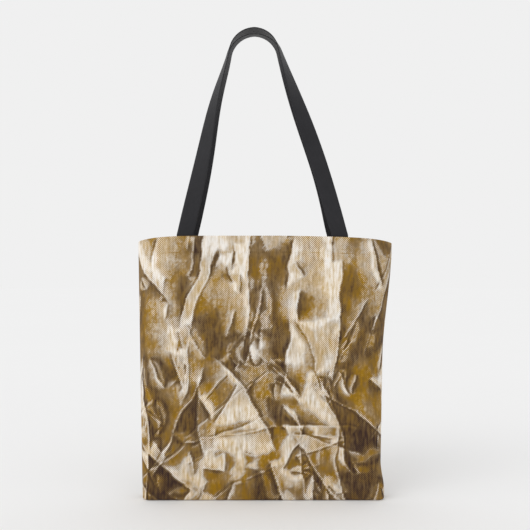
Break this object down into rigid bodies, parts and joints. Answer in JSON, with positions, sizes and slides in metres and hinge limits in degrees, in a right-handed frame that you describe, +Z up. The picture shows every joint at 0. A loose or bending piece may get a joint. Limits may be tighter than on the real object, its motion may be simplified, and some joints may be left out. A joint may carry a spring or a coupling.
{
  "type": "gift bag",
  "caption": "Open fabric gift bag with a boxed base, a gold foil print and two black webbing handles that fold down over the rim.",
  "frame": {"origin": "bottom centre of the bag, on the surface it stands on", "axes": "+Z up through the mouth and handles, -Y out of the front, X across the width"},
  "size_m": [0.3976, 0.0998, 0.7337],
  "materials": {
    "printed_cloth": "satin",
    "webbing": "matte",
    "binding_tape": "matte",
    "gold_thread": "satin",
    "black_thread": "satin"
  },
  "bodies": {
    "base": {"front_base_flap": "printed_cloth", "back_base_flap": "printed_cloth", "bottom_binding": "binding_tape", "left_corner_binding": "binding_tape", "right_corner_binding": "binding_tape", "left_side_binding": "binding_tape", "right_side_binding": "binding_tape"},
    "front_wall": {"front_panel": "printed_cloth", "front_hem": "printed_cloth", "front_hem_stitching": "gold_thread", "front_handle_left_end": "webbing", "front_handle_right_end": "webbing", "front_left_box_stitch": "black_thread", "front_right_box_stitch": "black_thread"},
    "back_wall": {"back_panel": "printed_cloth", "back_hem": "printed_cloth", "back_hem_stitching": "gold_thread", "back_handle_left_end": "webbing", "back_handle_right_end": "webbing", "back_left_box_stitch": "black_thread", "back_right_box_stitch": "black_thread"},
    "front_handle": {"front_handle": "webbing"},
    "back_handle": {"back_handle": "webbing"}
  },
  "joints": [
    {"name": "front_wall_fold", "type": "hinge", "parent": "base", "child": "front_wall", "pos_m": [0, -0.0242, 0.0008], "axis": [1, 0, 0], "range_deg": [0, 4]},
    {"name": "back_wall_fold", "type": "hinge", "parent": "base", "child": "back_wall", "pos_m": [0, 0.0242, 0.0008], "axis": [-1, 0, 0], "range_deg": [0, 4]},
    {"name": "front_handle_turn", "type": "hinge", "parent": "front_wall", "child": "front_handle", "pos_m": [0, -0.04825, 0.41], "axis": [1, 0, 0], "range_deg": [0, 178]},
    {"name": "back_handle_turn", "type": "hinge", "parent": "back_wall", "child": "back_handle", "pos_m": [0, 0.04825, 0.41], "axis": [-1, 0, 0], "range_deg": [0, 178]}
  ]
}
